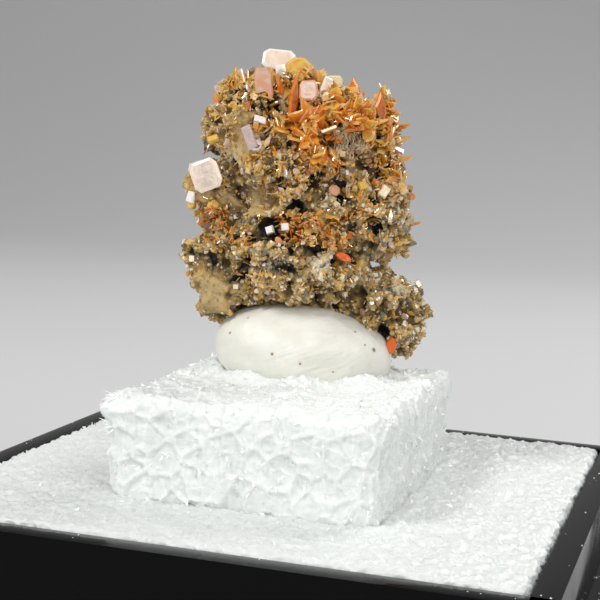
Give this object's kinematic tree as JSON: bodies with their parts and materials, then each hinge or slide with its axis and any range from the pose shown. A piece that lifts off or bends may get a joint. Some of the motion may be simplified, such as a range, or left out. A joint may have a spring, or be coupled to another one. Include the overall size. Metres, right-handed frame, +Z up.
{
  "type": "wulfenite on matrix",
  "caption": "Orange and pale tabular wulfenite crystals on a rough brown gossan matrix, stuck with white putty to a foam riser in a low black square display base.",
  "frame": {"origin": "middle of the display base's underside", "axes": "+Z up; X and Y run along the base's sides, and -Y is the side that the specimen is shown from"},
  "size_m": [0.032, 0.032, 0.029],
  "materials": {
    "tray_black": "glossy black styrene",
    "foam_white": "cut bead foam",
    "putty_white": "smooth soft putty",
    "matrix_stone": "rough weathered gossan",
    "wulfenite_orange": "glassy crystal faces",
    "wulfenite_peach": "glassy crystal faces",
    "wulfenite_honey": "glassy crystal faces"
  },
  "bodies": {
    "root": {"display_base": "tray_black", "foam_liner": "foam_white", "foam_riser": "foam_white", "mineral_tack": "putty_white", "matrix": "matrix_stone", "crown_plate": "wulfenite_peach", "peach_blade": "wulfenite_peach", "crown_chip": "wulfenite_peach", "honey_rosette": "wulfenite_honey", "amber_pillar": "wulfenite_orange", "lilac_window": "wulfenite_peach", "lilac_side_plate": "wulfenite_peach", "honey_plate": "wulfenite_honey", "amber_spear": "wulfenite_orange", "right_spear": "wulfenite_orange", "ember_fan": "wulfenite_orange", "heart_blades": "wulfenite_orange", "glow_plates": "wulfenite_orange", "lilac_fork": "wulfenite_peach", "pink_shelf": "wulfenite_peach", "knob_plate": "wulfenite_peach", "knob_back_plate": "wulfenite_peach", "knob_chip": "wulfenite_peach", "knob_stub": "wulfenite_orange", "knob_tail": "wulfenite_orange", "cube_left": "wulfenite_peach", "cube_right": "wulfenite_peach", "ember_tab": "wulfenite_orange", "pink_tab": "wulfenite_peach", "edge_window": "wulfenite_peach", "bright_chip": "wulfenite_honey", "left_rod": "wulfenite_honey", "foot_ember": "wulfenite_orange", "horn_plates": "wulfenite_honey", "needle_blade": "wulfenite_orange"}
  },
  "joints": []
}
